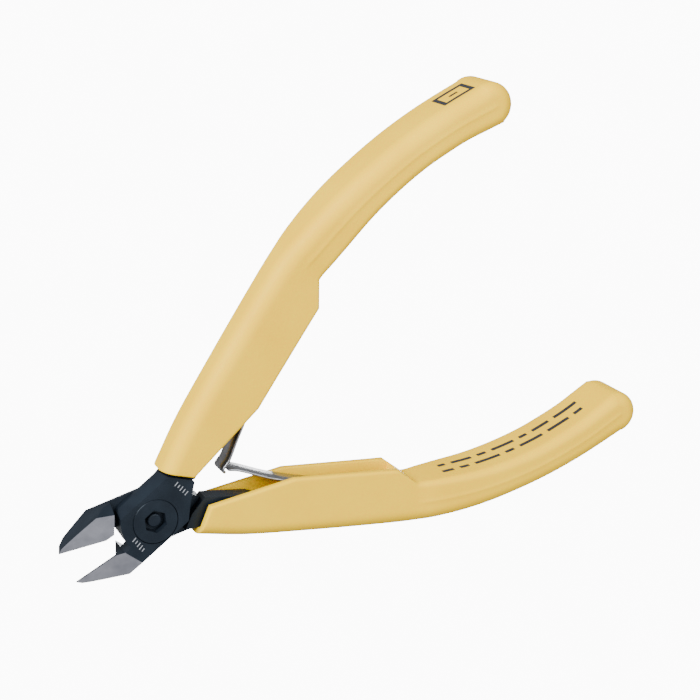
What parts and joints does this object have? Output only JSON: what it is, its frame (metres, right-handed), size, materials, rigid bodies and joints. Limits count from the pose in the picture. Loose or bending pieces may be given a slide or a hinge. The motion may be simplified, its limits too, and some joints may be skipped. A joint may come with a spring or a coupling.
{
  "type": "flush cut pliers",
  "caption": "Small diagonal flush-cutting pliers with a lap-jointed dark head, cushioned channel grips and interlocking leaf springs that hold the jaws open.",
  "frame": {"origin": "on the pivot axis at the mid plane of the lap joint", "axes": "+X back along the centre line between the handles, +Z along the pivot axis towards the flush-ground side, +Y towards the handle whose lever carries the front lapped half"},
  "size_m": [0.1005, 0.0714, 0.0114],
  "materials": {
    "head_steel": "black oxide, satin; cutting faces ground bright",
    "grip_plastic": "soft matt pale yellow",
    "pivot_steel": "black oxide, satin",
    "spring_steel": "bright spring steel"
  },
  "bodies": {
    "upper_half": {"upper_lever": "head_steel", "upper_grip": "grip_plastic", "pivot_screw": "pivot_steel", "pivot_nut": "pivot_steel", "upper_spring_rivet": "spring_steel"},
    "lower_half": {"lower_lever": "head_steel", "lower_grip": "grip_plastic", "lower_spring_rivet": "spring_steel"},
    "upper_leaf": {"upper_leaf_spring": "spring_steel"},
    "lower_leaf": {"lower_leaf_spring": "spring_steel"}
  },
  "joints": [
    {"name": "pivot", "type": "hinge", "parent": "upper_half", "child": "lower_half", "pos_m": [0, 0, 0], "axis": [0, 0, 1], "range_deg": [0, 21.5], "stiffness_Nm_per_rad": 0.6, "springref_deg": -5.73},
    {"name": "upper_leaf_flex", "type": "hinge", "parent": "upper_half", "child": "upper_leaf", "pos_m": [0.03761, 0.01898, 0], "axis": [0, 0, 1], "range_deg": [-5.63, 0.2], "deforming": ["upper_leaf_spring"]},
    {"name": "lower_leaf_flex", "type": "hinge", "parent": "lower_half", "child": "lower_leaf", "pos_m": [0.03761, -0.01898, 0], "axis": [0, 0, 1], "range_deg": [-0.2, 5.63], "deforming": ["lower_leaf_spring"]}
  ],
  "couplings": [
    {"joint": "upper_leaf_flex", "follows": "pivot", "ratio": -0.2431},
    {"joint": "lower_leaf_flex", "follows": "pivot", "ratio": 0.2431}
  ]
}
